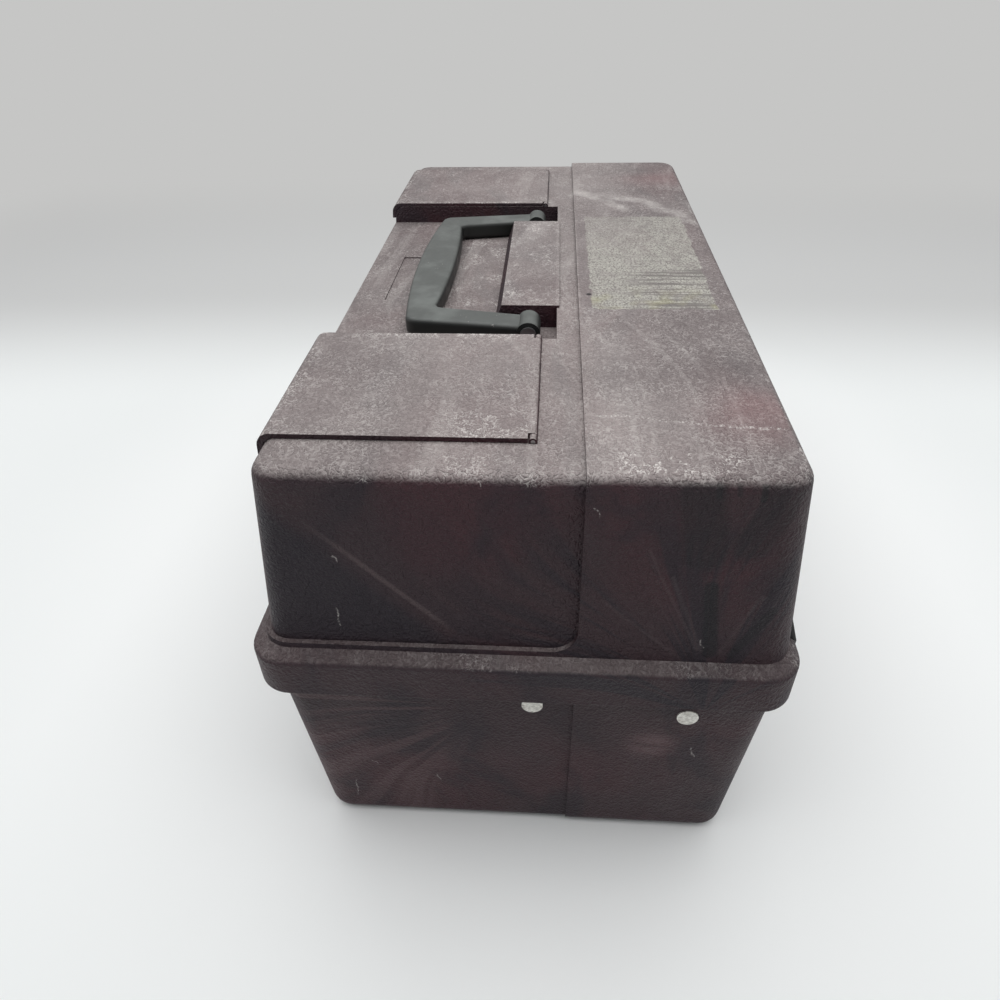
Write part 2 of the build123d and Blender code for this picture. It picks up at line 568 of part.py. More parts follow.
def base_hinge_leaf():
    """Base leaf of one hinge: a plate on the back wall with two outer knuckles."""
    y, z = HINGE_AXIS
    x0, x1 = HINGE_CENTRE - HINGE_LENGTH / 2, HINGE_CENTRE + HINGE_LENGTH / 2
    top, low = z - HINGE_BARREL - SIDE_GAP, z - HINGE_BARREL - HINGE_TAIL
    plate = profile(
        [
            (base_half(low)[1], low), (base_half(low)[1] + HINGE_FOOT, low),
            (base_half(top)[1] + HINGE_PLATE, top), (base_half(top)[1], top),
        ],
        x0,
        x1,
    )
    wall = base_half(top)[1]
    for k0, k1 in ((x0, x0 + HINGE_KNUCKLE), (x1 - HINGE_KNUCKLE, x1)):
        web = [(wall, top - LAP), (wall + HINGE_PLATE - LAP / 2, top - LAP)]
        web += [(y + HINGE_WEB_OUT, z), (y - HINGE_WEB_IN, z)]
        plate += profile(web, k0, k1) + rod(k0, k1, HINGE_AXIS, HINGE_BARREL)
    plate -= rod(x0, x1, HINGE_AXIS, HINGE_PIN)
    for x, rz in hinge_rivet_places(z - HINGE_BARREL - HINGE_TAIL / 2):
        face = base_half(rz)[1] + HINGE_PLATE / 2
        plate -= stud(face, FAR, x, rz, HINGE_RIVET_HEAD) + stud(0, FAR, x, rz, HINGE_RIVET)
    return plate


def hinge_rivet(half, z, x):
    """One rivet through a hinge leaf and the wall behind it, with a head on each side."""
    face = half(z)[1] + HINGE_PLATE / 2
    back = half(z)[1] - WALL - 2 * SEAT_GAP
    rivet = stud(back, face, x, z, HINGE_RIVET)
    rivet += stud(face, face + 2 * HEAD, x, z, HINGE_RIVET_HEAD)
    return rivet + stud(back - HEAD, back, x, z, HINGE_RIVET_HEAD)


def hinge_rivets(half, z):
    """Both rivets of a leaf at the +X side, and their mirror images."""
    rivets = [hinge_rivet(half, z, x) for x, _ in hinge_rivet_places(z)]
    return Compound(children=rivets + [mirrored(r) for r in rivets])


def hinge_pin():
    """Steel pin of one hinge, with a head at each end."""
    x0, x1 = HINGE_CENTRE - HINGE_LENGTH / 2, HINGE_CENTRE + HINGE_LENGTH / 2
    pin = rod(x0 - SIDE_GAP, x1 + SIDE_GAP, HINGE_AXIS, HINGE_PIN)
    for a, b in ((x0 - HEAD, x0), (x1, x1 + HEAD)):
        pin += rod(a, b, HINGE_AXIS, HINGE_PIN_HEAD)
    return pin


def base_block(inset, shrink, bottom, top, radius):
    """Tapered block with the base's outline: inset draws in its ends, shrink draws in every side."""
    levels = []
    for z in (bottom, top):
        half_x, half_y = base_half(z)
        levels.append(ring(half_x - inset - shrink, -half_y + shrink, half_y - shrink, z, CORNER - shrink))
    solid = loft(levels, ruled=True)
    return fillet(solid.edges().group_by(Axis.Z)[0], radius)


def base_shell():
    """Base: tapered tub with a proud rear part, pivot bosses, a latch catch and a hollow underside."""
    proud = base_block(0, 0, 0, LIP_TOP, BOTTOM_ROUND)
    drawn = base_block(BASE_STEP, 0, 0, LIP_TOP, BOTTOM_ROUND)
    rear = box(-FAR, FAR, SEAM_Y, FAR, -LAP, HEIGHT)
    shell = (proud & rear) + (drawn - rear)
    shell -= base_block(BASE_STEP, WALL, WALL, LIP_TOP + LAP, BOTTOM_ROUND - WALL)
    half_x, half_y = base_half(0)
    for side in (1, -1):
        x0, x1 = sorted((side * PAD_MARGIN / 2, side * (half_x - PAD_MARGIN)))
        shell -= box(x0, x1, -half_y + PAD_MARGIN, half_y - PAD_MARGIN, -LAP, PAD_DEPTH)
    catch_top = RIM_BOTTOM - LATCH_HOOK_DROP + SEAT_GAP + CATCH_HEIGHT
    catch_low = catch_top - CATCH_HEIGHT
    wall = -base_half(catch_top)[1] + WALL / 2
    face = -BODY_DEPTH / 2 - CATCH_OUT
    nose = [(wall, catch_low), (face, catch_low), (face, catch_low + CATCH_NOSE)]
    shell += profile(nose + [(wall - WALL, catch_top), (wall, catch_top)], -CATCH_HALF, CATCH_HALF)
    for side in (1, -1):
        for pivot in (FRONT_PIVOT, REAR_PIVOT):
            wall_x = base_half(pivot[1])[0]
            boss = rod(ARM_OUT + SIDE_GAP, wall_x - WALL, pivot, PIVOT_BOSS)
            hole = rod(ARM_OUT, FAR, pivot, PIVOT_PIN)
            seat = rod(rivet_seat(pivot), FAR, pivot, PIVOT_HEAD)
            shell += boss if side > 0 else mirrored(boss)
            shell -= hole if side > 0 else mirrored(hole)
            shell -= seat if side > 0 else mirrored(seat)
        for x, z in hinge_rivet_places(HINGE_AXIS[1] - HINGE_BARREL - HINGE_TAIL / 2):
            shell -= stud(HOLE_START, BODY_DEPTH, side * x, z, HINGE_RIVET)
    return shell


def rivet_seat(pivot):
    """Where the outer head of an arm rivet is seated in the end wall."""
    step = BASE_STEP if pivot[0] < SEAM_Y else 0
    return base_half(pivot[1] - PIVOT_HEAD)[0] - step - RIVET_SINK


def arm_rivet(pivot):
    """Rivet that an arm turns on, with its pale outer head on the end wall."""
    seat = rivet_seat(pivot)
    inner = ARM_IN - SEAT_GAP
    shank = rod(inner, seat, pivot, PIVOT_PIN)
    return shank + rod(seat, seat + HEAD, pivot, PIVOT_HEAD) + rod(inner - HEAD, inner, pivot, PIVOT_HEAD)


def arm_rivets():
    """The four arm rivets."""
    rivets = [arm_rivet(pivot) for pivot in (FRONT_PIVOT, REAR_PIVOT)]
    return Compound(children=rivets + [mirrored(r) for r in rivets])


def strip(x0, near, far, width, thick):
    """Flat strip with round ends between two points of the end view, from x0 outwards."""
    middle = (x0, (near[0] + far[0]) / 2, (near[1] + far[1]) / 2)
    plane = Plane(origin=middle, x_dir=(0, far[0] - near[0], far[1] - near[1]), z_dir=(1, 0, 0))
    return extrude(plane * SlotCenterToCenter(math.dist(near, far), width), thick)


def arm(pivot, link_hole):
    """One cantilever arm at the +X end: a steel strip with a hole for each pivot."""
    body = strip(ARM_IN, pivot, arm_point(pivot, TRAY_RADII[-1]), ARM_WIDTH, ARM_THICK)
    body -= rod(ARM_IN - LAP, ARM_OUT + LAP, pivot, PIVOT_PIN + RUNNING)
    for radius in TRAY_RADII:
        body -= rod(ARM_IN - LAP, ARM_OUT + LAP, arm_point(pivot, radius), TRAY_PIN + RUNNING)
    if link_hole:
        body -= rod(ARM_IN - LAP, ARM_OUT + LAP, arm_point(pivot, LINK_ARM_RADIUS), TRAY_PIN)
    return body


def lid_link():
    """Link from the lid to a rear arm: a close hole at the lid, an open eye at the arm."""
    far = arm_point(REAR_PIVOT, LINK_ARM_RADIUS)
    near = LINK_LID_PIVOT
    body = strip(LINK_IN, near, far, LINK_WIDTH, LINK_THICK)
    body += rod(LINK_IN, LINK_OUT, far, LINK_EYE)
    body -= rod(LINK_IN - LAP, LINK_OUT + LAP, far, TRAY_PIN + LINK_CLEARANCE)
    body -= rod(LINK_IN - LAP, LINK_OUT + LAP, near, TRAY_PIN + RUNNING)
    return body


def link_lid_pin():
    """Pin from the lid's boss through the close end of a link."""
    outer = lid_half(LINK_LID_PIVOT[1])[0] - WALL / 2
    x0 = LINK_IN - SEAT_GAP
    return rod(x0, outer, LINK_LID_PIVOT, TRAY_PIN) + rod(x0 - HEAD / 2, x0, LINK_LID_PIVOT, TRAY_PIN_HEAD)


def link_arm_pin():
    """Pin fixed in a rear arm, with a broad cap that keeps the open eye of the link on it."""
    place = arm_point(REAR_PIVOT, LINK_ARM_RADIUS)
    cap = LINK_OUT + SEAT_GAP
    pin = rod(ARM_IN, cap, place, TRAY_PIN) + rod(cap, cap + HEAD / 2, place, LINK_CAP)
    return pin + rod(ARM_IN - HEAD, ARM_IN, place, TRAY_PIN_HEAD)


def tray_levels(k):
    """Lowest and highest z of tray k, counted from the lowest tray."""
    top = arm_point(FRONT_PIVOT, TRAY_RADII[k])[1] + TRAY_PIN_DROP
    return top - TRAY_HEIGHT, top


def tray_inside(k, z):
    """Half length, front and back of the inside of tray k at height z."""
    draw = TRAY_WALL + (tray_levels(k)[1] - z) * math.tan(math.radians(TRAY_DRAFT))
    return TRAY_END - draw, TRAY_FRONT + draw, TRAY_BACKS[k] - draw


def divider_outline(k, row, grow):
    """End view of a divider of tray k in the front (0) or rear (1) row, grown into its grooves."""
    low, top = tray_levels(k)
    mid = TRAY_FRONT + MIDDLE_WALLS[k]
    points = []
    for z in (low + TRAY_WALL, top - DIVIDER_DROP):
        _, y0, y1 = tray_inside(k, z)
        front, back = (y0, mid - TRAY_WALL / 2) if row == 0 else (mid + TRAY_WALL / 2, y1)
        points.append((front - grow, back + grow, z))
    (f0, b0, z0), (f1, b1, z1) = points
    return [(f0, z0), (b0, z0), (b1, z1), (f1, z1)]


def divider_places(k, row):
    """X of each divider in one row of tray k, evenly spaced."""
    count = (FRONT_ROW_COUNTS, REAR_ROW_COUNTS)[row][k]
    half = tray_inside(k, tray_levels(k)[0] + TRAY_WALL)[0]
    return [-half + 2 * half * (i + 1) / (count + 1) for i in range(count)]


def tray(k):
    """Tray k: drafted tub with a middle wall, front and back lips, divider grooves and pivot bosses."""
    low, top = tray_levels(k)
    back = TRAY_BACKS[k]
    out_top = ring(TRAY_END, TRAY_FRONT, back, top, TRAY_CORNER)
    draw = TRAY_HEIGHT * math.tan(math.radians(TRAY_DRAFT))
    out_low = ring(TRAY_END - draw, TRAY_FRONT + draw, back - draw, low, TRAY_CORNER)
    body = loft([out_low, out_top], ruled=True)
    rings = []
    for z in (low + TRAY_WALL, top + LAP):
        half, y0, y1 = tray_inside(k, z)
        rings.append(ring(half, y0, y1, z, TRAY_CORNER - TRAY_WALL))
    body -= loft(rings, ruled=True)
    mid0 = TRAY_FRONT + MIDDLE_WALLS[k] - TRAY_WALL / 2
    half = tray_inside(k, low)[0]
    body += box(-half, half, mid0, mid0 + TRAY_WALL, low + TRAY_WALL / 2, top - DIVIDER_DROP)
    lip_half = TRAY_END - TRAY_CORNER
    body += box(-lip_half, lip_half, TRAY_FRONT - TRAY_LIP, TRAY_FRONT + TRAY_WALL, top - TRAY_WALL, top)
    body += box(-lip_half, lip_half, back - TRAY_WALL, back + TRAY_LIP, top - TRAY_WALL, top)
    for pivot in (FRONT_PIVOT, REAR_PIVOT):
        place = arm_point(pivot, TRAY_RADII[k])
        boss = rod(TRAY_END - TRAY_WALL, TRAY_END + TRAY_BOSS_OUT, place, TRAY_BOSS)
        hole = rod(TRAY_END - 3 * TRAY_WALL, TRAY_END + 2 * TRAY_BOSS_OUT, place, TRAY_PIN)
        body += boss
        body += mirrored(boss)
        body -= hole
        body -= mirrored(hole)
    for row in (0, 1):
        groove = divider_outline(k, row, GROOVE)
        for x in divider_places(k, row):
            half_groove = DIVIDER / 2 + GROOVE_GAP
            lifted = [(y, z if z < top - DIVIDER_DROP else top - DIVIDER_DROP + TOUCH) for y, z in groove]
            body -= profile(lifted, x - half_groove, x + half_groove)
    return body


def dividers(k):
    """Loose dividers of tray k, one solid each."""
    pieces = []
    for row in (0, 1):
        outline = divider_outline(k, row, GROOVE - GROOVE_GAP)
        pieces += [profile(outline, x - DIVIDER / 2, x + DIVIDER / 2) for x in divider_places(k, row)]
    return Compound(children=pieces)


def tray_rivets(k):
    """The four rivets that hang tray k on its arms."""
    rivets = []
    for pivot in (FRONT_PIVOT, REAR_PIVOT):
        place = arm_point(pivot, TRAY_RADII[k])
        inner = tray_inside(k, place[1] - TRAY_PIN_HEAD)[0]
        head = ARM_OUT + SEAT_GAP
        rivet = rod(inner, head, place, TRAY_PIN) + rod(head, head + HEAD, place, TRAY_PIN_HEAD)
        rivets.append(rivet + rod(inner - HEAD, inner, place, TRAY_PIN_HEAD))
    return Compound(children=rivets + [mirrored(r) for r in rivets])


def build():
    """Every piece by the name of its file."""
    nodes = {
        "base_shell": base_shell(),
        "lid_shell": lid_shell(),
        "top_door_right": door(),
        "top_door_left": mirrored(door()),
        "door_hinge_pins": both_ends(door_pin()),
        "carry_handle": handle(),
        "handle_pins": both_ends(handle_pin()),
        "front_latch": latch(),
        "latch_pin": latch_pin(),
        "lid_hinge_leaves": both_ends(lid_hinge_leaf()),
        "lid_hinge_rivets": hinge_rivets(lid_half, SHOULDER + HINGE_WEDGE / 2),
        "base_hinge_leaves": both_ends(base_hinge_leaf()),
        "base_hinge_rivets": hinge_rivets(base_half, HINGE_AXIS[1] - HINGE_BARREL - HINGE_TAIL / 2),
        "rear_hinge_pins": both_ends(hinge_pin()),
        "arm_pivot_rivets": arm_rivets(),
        "front_arm_right": arm(FRONT_PIVOT, False),
        "front_arm_left": mirrored(arm(FRONT_PIVOT, False)),
        "rear_arm_right": arm(REAR_PIVOT, True),
        "rear_arm_left": mirrored(arm(REAR_PIVOT, True)),
        "lid_link_right": lid_link(),
        "lid_link_left": mirrored(lid_link()),
        "link_lid_pins": both_ends(link_lid_pin()),
        "link_arm_pins": both_ends(link_arm_pin()),
    }
    for k, name in enumerate(TRAY_NAMES):
        nodes["tray_" + name] = tray(k)
        nodes["tray_rivets_" + name] = tray_rivets(k)
        nodes["dividers_" + name] = dividers(k)
    return nodes


def main():
    """Writes one file for each piece."""
    os.makedirs("parts", exist_ok=True)
    for name, shape in build().items():
        export_step(shape, f"parts/{name}.step")


main()
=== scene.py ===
import bpy
import json
import math
from mathutils import Matrix, Vector


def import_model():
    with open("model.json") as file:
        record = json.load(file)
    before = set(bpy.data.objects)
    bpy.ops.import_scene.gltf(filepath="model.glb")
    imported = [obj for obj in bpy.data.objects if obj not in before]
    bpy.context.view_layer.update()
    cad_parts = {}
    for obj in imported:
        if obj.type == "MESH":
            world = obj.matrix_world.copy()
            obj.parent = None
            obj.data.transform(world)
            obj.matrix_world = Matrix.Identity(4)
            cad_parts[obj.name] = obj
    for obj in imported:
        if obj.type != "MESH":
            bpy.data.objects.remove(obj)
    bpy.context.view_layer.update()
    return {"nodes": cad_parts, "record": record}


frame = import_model()

MM = 0.001


def srgb(r, g, b):
    """Linear colour from an 8-bit one."""
    def one(v):
        v /= 255.0
        return v / 12.92 if v <= 0.04045 else ((v + 0.055) / 1.055) ** 2.4
    return one(r), one(g), one(b)


def metres(point):
    """A point given in mm, in metres."""
    return [length * MM for length in point]


# Camera, in metres in the frame of the part
CAMERA_PLACE = Vector((431.81, 9.12, 380.39)) * MM
CAMERA_FORWARD = Vector((-0.78943, -0.06259, -0.61065))
CAMERA_UP = Vector((-0.61051, -0.02358, 0.79166))
CAMERA_LENS = 26.826
SENSOR = 36.0
CAMERA_NEAREST = 0.01

# Heights and places on the box, in metres
SHOULDER = 140.6 * MM                       # top of the sloped shoulder over the rim
TOP = 226.9 * MM
END_GATE = (77.0 * MM, 116.0 * MM)          # flow lines on the ends of the lid fan out from here: y, z
BASE_GATE = (-15.0 * MM, 104.0 * MM)        # the same on the ends of the base
BOUNCE_SPOT = (60.0 * MM, 80.0 * MM)             # painted reddish spot of bounce light on the ends of the base: y, z
DIAGONAL = (-83.0 * MM, 201.0 * MM)         # upper end of the pale diagonal flow line: y, z
DIAGONAL_TURN = math.radians(-43.4)
DIAGONAL_LENGTH = 78.0 * MM
PATCH = (-74.0 * MM, 74.0 * MM, 30.0 * MM, 91.5 * MM)         # residue of a label: x0, x1, y0, y1
STRIP = (-60.0 * MM, 72.0 * MM, 24.5 * MM, 29.5 * MM)         # cleaner strip beside the residue
RECESS_SCUFFS = (-62.0 * MM, 62.0 * MM, -44.0 * MM, 8.0 * MM)  # scuffed part of the recess
BLOCK = (-68.5 * MM, 68.5 * MM, -20.0 * MM, 11.0 * MM)        # raised block between the handle's arms
NICK = (56.0 * MM, 28.5 * MM)               # dark nick: x, y
SCUFF_LINE = (177.0 * MM, 29.0 * MM, 186.0 * MM, 97.0 * MM)   # dotted scuff: from x, y to x, y
RED_SPOTS = ((-177.0 * MM, 82.0 * MM), (164.0 * MM, 94.0 * MM))
EDGE_SCUFFS = (                             # pale scuffs at the +X edge: from y, to y, strength
    (38.0 * MM, 60.0 * MM, 1.0),
    (66.0 * MM, 76.0 * MM, 0.7),
    (-34.0 * MM, -14.0 * MM, 0.5),
)
EDGE_X = (206.0 * MM, 214.0 * MM)           # they lie between these, along X
DOOR_SIDE = -104.5 * MM                     # outer edge of the doors along the front: y
DOOR_NEAR = 105.0 * MM                      # their edge beside the recess: distance from x = 0
DOOR_WORN_X = (0.165, 0.185)                # the rear corner of the +X door wears over these: x, y
DOOR_WORN_Y = (-0.04, -0.02)
END_X = (0.19, 0.2)                         # scratches on the ends come in over this distance

# Strokes on the upper ends: from (y, z), to (y, z), half width, all in mm, and strength
RAYS = (
    ((72.9, 179.6), (75.4, 146.0), 1.9, 0.85),
    ((83.7, 145.0), (97.0, 168.6), 1.2, 0.6),
    ((64.0, 222.0), (68.0, 196.0), 6.0, 0.5),
    ((93.0, 222.0), (84.0, 200.0), 5.0, 0.45),
    ((69.2, 225.0), (69.4, 220.5), 0.5, 0.7),
    ((76.1, 225.0), (76.3, 221.5), 0.4, 0.6),
    ((84.8, 225.0), (84.6, 219.5), 0.6, 0.8),
)
PALE_RAYS = (
    ((48.0, 196.0), (70.2, 147.3), 0.2, 0.2),
    ((30.7, 171.9), (64.9, 141.5), 0.2, 0.18),
    ((58.0, 184.0), (72.0, 146.0), 0.3, 0.2),
    ((92.0, 176.0), (79.0, 146.0), 0.3, 0.16),
)
SCRATCHES = (                               # short pale scratches on the ends: (y, z) to (y, z), in mm
    ((-75.5, 161.1), (-75.4, 152.5)),
    ((26.8, 214.5), (28.4, 210.7)),
    ((-16.8, 224.3), (-14.7, 221.0)),
    ((-73.8, 187.6), (-71.7, 185.7)),
    ((71.5, 152.8), (73.7, 148.6)),
    ((-85.6, 32.1), (-86.8, 17.4)),
    ((-43.2, 42.0), (-41.1, 37.2)),
    ((-74.4, 52.7), (-72.2, 50.0)),
    ((77.8, 78.1), (80.2, 70.5)),
)
WISPS = (                                   # pale wisps beyond the residue: (x, y) to (x, y), in mm
    ((-132, 29), (-114, 45)),
    ((-114, 45), (-91, 57)),
    ((-122, 45), (-107, 75)),
    ((-107, 75), (-65, 97)),
)

# Half widths and soft edges of strokes and spots, in metres
SCRATCH_HALF, SCRATCH_SOFT = 0.0001, 0.0004
WISP_HALF, WISP_SOFT = 0.0002, 0.009
NICK_RADIUS, NICK_SOFT = 0.0008, 0.0012
BOUNCE_SPOT_RADIUS, BOUNCE_SPOT_SOFT = 0.002, 0.014
RED_SPOT_SOFT = 0.045
RAY_SOFT = 0.0008

# Scales of the patterns, in a metre
GRAIN = 400.0                               # creases of the leather grain
SMALL_GRAIN = 2.1 * GRAIN
FINE = 900.0                                # speckle of scuffs and residue
RUBBED = 60.0                               # patches of wear
SKIN = 1600.0                               # skin of plain moulded plastic

# Heights of the patterns, in metres
LEATHER_HEIGHT = 0.0005
SKIN_HEIGHT = 0.0001
LINES_HEIGHT = 0.00003

# Colours
# pale dust, also the colour of the painted sheen where it thickens towards +X
DUST_AND_SHEEN = srgb(188, 178, 175)
SCUFF = srgb(212, 206, 202)
BURGUNDY = srgb(61, 35, 41)
BROWN = srgb(53, 37, 42)
CHARCOAL = srgb(42, 33, 40)
BLUE_BLACK = srgb(28, 25, 34)
RAY_DARK = srgb(20, 19, 24)
RAY_PALE = srgb(92, 80, 82)
FLOW_PALE = srgb(72, 57, 60)
DIAGONAL_PALE = srgb(96, 82, 83)
BASE_PALE = srgb(88, 68, 70)
# colour of the painted reddish bounce light on the base's ends
BOUNCE_SPOT_RED = srgb(112, 88, 90)
SPOT_RED = srgb(142, 102, 103)
STRIP_GREY = srgb(104, 94, 95)
NICK_DARK = srgb(40, 36, 38)
GLUE_PALE = srgb(188, 185, 176)
GLUE_DARK = srgb(108, 103, 100)
GLUE_YELLOW = srgb(166, 162, 120)
METAL_STAIN = srgb(108, 98, 88)
OXIDE_DARK = srgb(196, 192, 184)
OXIDE_PALE = srgb(240, 238, 232)
OXIDE_SCRATCH = srgb(150, 144, 138)

# Studio
FLOOR_RADIUS = 14.0
FLOOR_STEPS = 96
FLOOR_CENTRE = 0.28                         # the floor's painted shade grows with distance from here along X
FLOOR_SQUASH = 0.3                          # distance along Y counts this much in that
# painted shade: over this distance the floor is painted from FLOOR_PALE to a darker grey
FLOOR_SHADE_REACH = (0.5, 0.8)
PAINTED_FLOOR_LIGHT_REACH = (0.24, 0.46)             # distance from the object over which the painted pool of light near it ends
FLOOR_FADES = (0.85, 1.35)                  # the floor turns into the backdrop over this distance
FLOOR_FADES_AROUND = (0.85, 1.4)            # and over this one, from the object
PAINTED_FLOOR_LIGHT = srgb(243, 244, 243)            # painted pool of light under and beside the object
FLOOR_PALE = srgb(234, 236, 235)
# the darker grey of the floor's painted shade
FLOOR_PAINTED_SHADE = srgb(200, 200, 199)
BACKDROP = srgb(198, 198, 197)
SKY = (0.9, 0.93, 0.96, 1.0)
SKY_STRENGTH = 0.32


class Nodes:
    """Short way to write a material's node tree."""

    def __init__(self, name):
        self.material = bpy.data.materials.new(name)
        self.material.use_nodes = True
        self.tree = self.material.node_tree
        self.shader = self.tree.nodes["Principled BSDF"]
        places = self.tree.nodes.new("ShaderNodeTexCoord")
        self.coords = places.outputs["Object"]
        self.x, self.y, self.z = self.split(self.coords)
        self.face_x, _, self.face_z = self.split(places.outputs["Normal"])

    def link(self, source, target):
        """Feeds a socket from another socket, a number, or a colour."""
        if isinstance(source, bpy.types.NodeSocket):
            self.tree.links.new(source, target)
        elif isinstance(source, (tuple, list)) and len(source) == 3 and target.type == "RGBA":
            target.default_value = (*source, 1.0)
        else:
            target.default_value = source

    def math(self, operation, a, b=0.0, clamp=False):
        """Number from an arithmetic node."""
        node = self.tree.nodes.new("ShaderNodeMath")
        node.operation = operation
        node.use_clamp = clamp
        self.link(a, node.inputs[0])
        self.link(b, node.inputs[1])
        return node.outputs[0]

    def vector(self, operation, a, b=(0.0, 0.0, 0.0), output=0):
        """Result of a vector arithmetic node."""
        node = self.tree.nodes.new("ShaderNodeVectorMath")
        node.operation = operation
        self.link(a, node.inputs[0])
        self.link(b, node.inputs[1])
        return node.outputs[output]

    def split(self, vector):
        """The three components of a vector."""
        node = self.tree.nodes.new("ShaderNodeSeparateXYZ")
        self.link(vector, node.inputs[0])
        return node.outputs

    def join(self, x, y, z):
        """Vector from three numbers."""
        node = self.tree.nodes.new("ShaderNodeCombineXYZ")
        for value, target in zip((x, y, z), node.inputs):
            self.link(value, target)
        return node.outputs[0]

    def noise(self, vector, scale, detail=3.0, rough=0.5, distortion=0.0, colour=False):
        """Noise from 0 to 1, or a noise colour."""
        node = self.tree.nodes.new("ShaderNodeTexNoise")
        self.link(vector, node.inputs["Vector"])
        node.inputs["Scale"].default_value = scale
        node.inputs["Detail"].default_value = detail
        node.inputs["Roughness"].default_value = rough
        node.inputs["Distortion"].default_value = distortion
        return node.outputs["Color" if colour else "Fac"]

    def stretched(self, vector, scales, detail=3.0, rough=0.5):
        """Noise with its own scale along each axis."""
        return self.noise(self.vector("MULTIPLY", vector, scales), 1.0, detail, rough)

    def warped(self, scale, amount):
        """Coordinates pushed about by a slow noise."""
        push = self.noise(self.coords, scale, 1.0, colour=True)
        push = self.vector("SUBTRACT", push, (0.5, 0.5, 0.5))
        return self.vector("ADD", self.coords, self.vector("MULTIPLY", push, (amount,) * 3))

    def both(self, *masks):
        """Product of some masks."""
        result = masks[0]
        for mask in masks[1:]:
            result = self.math("MULTIPLY", result, mask)
        return result

    def either(self, *masks):
        """Highest of some masks."""
        result = masks[0]
        for mask in masks[1:]:
            result = self.math("MAXIMUM", result, mask)
        return result

    def shifted(self, value, noise, amount):
        """A coordinate pushed to and fro by a noise, over the amount in all."""
        return self.math("ADD", value, self.both(self.math("SUBTRACT", noise, 0.5), amount))

    def length(self, a, b):
        """Length of a vector with two components."""
        return self.math("SQRT", self.math("ADD", self.both(a, a), self.both(b, b)))

    def band(self, value, low, high, soft):
        """1 between low and high, falling to 0 over soft at both sides."""
        rise = self.ramp(value, low - soft, low)
        return self.both(rise, self.ramp(value, high, high + soft, 1.0, 0.0))

    def spot(self, a, b, centre, radius, soft):
        """Round mask in the plane of two coordinates."""
        da = self.math("SUBTRACT", a, centre[0])
        db = self.math("SUBTRACT", b, centre[1])
        return self.ramp(self.length(da, db), radius, radius + soft, 1.0, 0.0)

    def stroke(self, a, b, start, end, half, soft):
        """Straight stroke with round ends in the plane of two coordinates."""
        run = (end[0] - start[0], end[1] - start[1])
        da = self.math("SUBTRACT", a, start[0])
        db = self.math("SUBTRACT", b, start[1])
        along = self.math("ADD", self.both(da, run[0]), self.both(db, run[1]))
        along = self.math("DIVIDE", along, math.hypot(*run) ** 2, clamp=True)
        ra = self.math("SUBTRACT", da, self.both(along, run[0]))
        rb = self.math("SUBTRACT", db, self.both(along, run[1]))
        return self.ramp(self.length(ra, rb), half, half + soft, 1.0, 0.0)

    def rectangle(self, x, y, place, soft):
        """Soft-edged rectangle seen from above: x0, x1, y0, y1."""
        return self.both(self.band(x, place[0], place[1], soft), self.band(y, place[2], place[3], soft))

    def ramp(self, value, low, high, to_low=0.0, to_high=1.0):
        """Maps low..high of a number smoothly to another range, held at its ends."""
        node = self.tree.nodes.new("ShaderNodeMapRange")
        node.interpolation_type = "SMOOTHSTEP"
        for v, target in zip((value, low, high, to_low, to_high), node.inputs):
            self.link(v, target)
        return node.outputs[0]

    def mix(self, factor, a, b):
        """Mix of two colours."""
        node = self.tree.nodes.new("ShaderNodeMix")
        node.data_type = "RGBA"
        self.link(factor, node.inputs["Factor"])
        self.link(a, node.inputs[6])
        self.link(b, node.inputs[7])
        return node.outputs[2]

    def bump(self, height, distance, strength=1.0):
        """Normal that is tilted by a height, with distance in metres."""
        node = self.tree.nodes.new("ShaderNodeBump")
        node.inputs["Strength"].default_value = strength
        node.inputs["Distance"].default_value = distance
        self.link(height, node.inputs["Height"])
        return node.outputs[0]

    def finish(self, colour, rough, normal=None, metallic=0.0, specular=0.5):
        """Sets the shader and gives back the material."""
        self.link(colour, self.shader.inputs["Base Color"])
        self.link(rough, self.shader.inputs["Roughness"])
        self.shader.inputs["Metallic"].default_value = metallic
        self.shader.inputs["Specular IOR Level"].default_value = specular
        if normal is not None:
            self.link(normal, self.shader.inputs["Normal"])
        return self.material


def end_faces(n):
    """1 on the faces that look along X."""
    return n.ramp(n.math("ABSOLUTE", n.face_x), 0.55, 0.8)


def fan(n, gate, fineness, sway):
    """Flow lines that spread from a gate in the end view: their noise, and the distance from the gate."""
    dy = n.math("SUBTRACT", n.y, gate[0])
    dz = n.math("SUBTRACT", n.z, gate[1])
    away = n.length(dy, dz)
    angle = n.math("ADD", n.math("ARCTAN2", dz, dy), sway)
    lines = n.join(n.both(angle, fineness), n.both(away, 7.0), n.x)
    return n.noise(lines, 1.0, 3.0, 0.6), away


def diagonal(n, colour, above, drift):
    """Pale diagonal flow line on the ends of the lid, and the dark corner under it."""
    dy = n.math("SUBTRACT", n.y, DIAGONAL[0])
    dz = n.math("SUBTRACT", n.z, DIAGONAL[1])
    c, s = math.cos(DIAGONAL_TURN), math.sin(DIAGONAL_TURN)
    along = n.math("ADD", n.both(dy, c), n.both(dz, s))
    across = n.math("SUBTRACT", n.both(dz, c), n.both(dy, s))
    across = n.shifted(across, drift, 0.008)
    corner = n.both(above, n.ramp(across, -0.01, 0.0, 1.0, 0.0), n.ramp(n.y, -0.05, 0.0, 1.0, 0.0), 0.75)
    colour = n.mix(corner, colour, BLUE_BLACK)
    start = n.ramp(along, -0.01, 0.03)
    end = n.ramp(along, DIAGONAL_LENGTH - 0.02, DIAGONAL_LENGTH, 1.0, 0.0)
    line = n.band(across, -0.0002, 0.0006, 0.0014)
    return n.mix(n.both(above, start, end, line, 0.5), colour, DIAGONAL_PALE)


